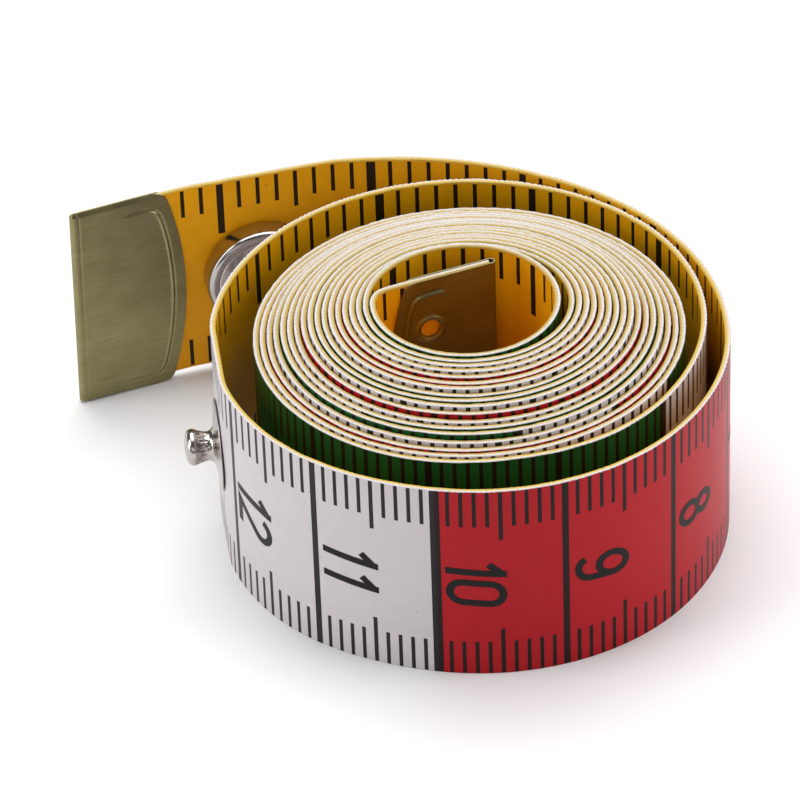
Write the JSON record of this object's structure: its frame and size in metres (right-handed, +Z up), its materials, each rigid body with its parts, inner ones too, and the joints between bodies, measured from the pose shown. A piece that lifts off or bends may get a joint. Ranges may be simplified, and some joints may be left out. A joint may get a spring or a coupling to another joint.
{
  "type": "cloth tape measure",
  "caption": "Cloth tape measure rolled up on its edge, with printed centimetre and inch scales, folded brass end tips and a press stud that fastens its free tail.",
  "frame": {"origin": "middle of the footprint, on the surface the rolled tape stands on", "axes": "+Z up along the roll's axis, +X to the right across the roll, with the free tail's brass tip towards -X"},
  "size_m": [0.0529, 0.0427, 0.0217],
  "materials": {
    "tape_cloth": "plastic-coated cloth, satin, printed on both faces",
    "brass_sheet": "brushed and stamped",
    "nickel_plate": "bright nickel plate",
    "spring_steel": "drawn wire"
  },
  "bodies": {
    "roll": {"tape_coil": "tape_cloth", "tape_loop": "tape_cloth", "inner_tip": "brass_sheet", "snap_stud": "nickel_plate", "stud_post": "nickel_plate"},
    "loop_right": {"tape_run_4": "tape_cloth"},
    "loop_back": {"tape_run_3": "tape_cloth"},
    "tail": {"tape_run_2": "tape_cloth"},
    "tail_end": {"tape_run_1": "tape_cloth", "outer_tip": "brass_sheet", "snap_socket": "nickel_plate", "socket_spring_outer": "spring_steel", "socket_spring_inner": "spring_steel", "snap_cap": "nickel_plate"}
  },
  "joints": [
    {"name": "loop_right_bend", "type": "hinge", "parent": "roll", "child": "loop_right", "pos_m": [0.00978, -0.02121, 0], "axis": [0, 0, 1], "range_deg": [-32, 0]},
    {"name": "loop_back_bend", "type": "hinge", "parent": "loop_right", "child": "loop_back", "pos_m": [0.02561, -0.00789, 0], "axis": [0, 0, 1], "range_deg": [-64, 0]},
    {"name": "tail_bend", "type": "hinge", "parent": "loop_back", "child": "tail", "pos_m": [0.02032, 0.01236, 0], "axis": [0, 0, 1], "range_deg": [-51, 2]},
    {"name": "tail_end_bend", "type": "hinge", "parent": "tail", "child": "tail_end", "pos_m": [0.00043, 0.02025, 0], "axis": [0, 0, 1], "range_deg": [-34, 9]}
  ]
}
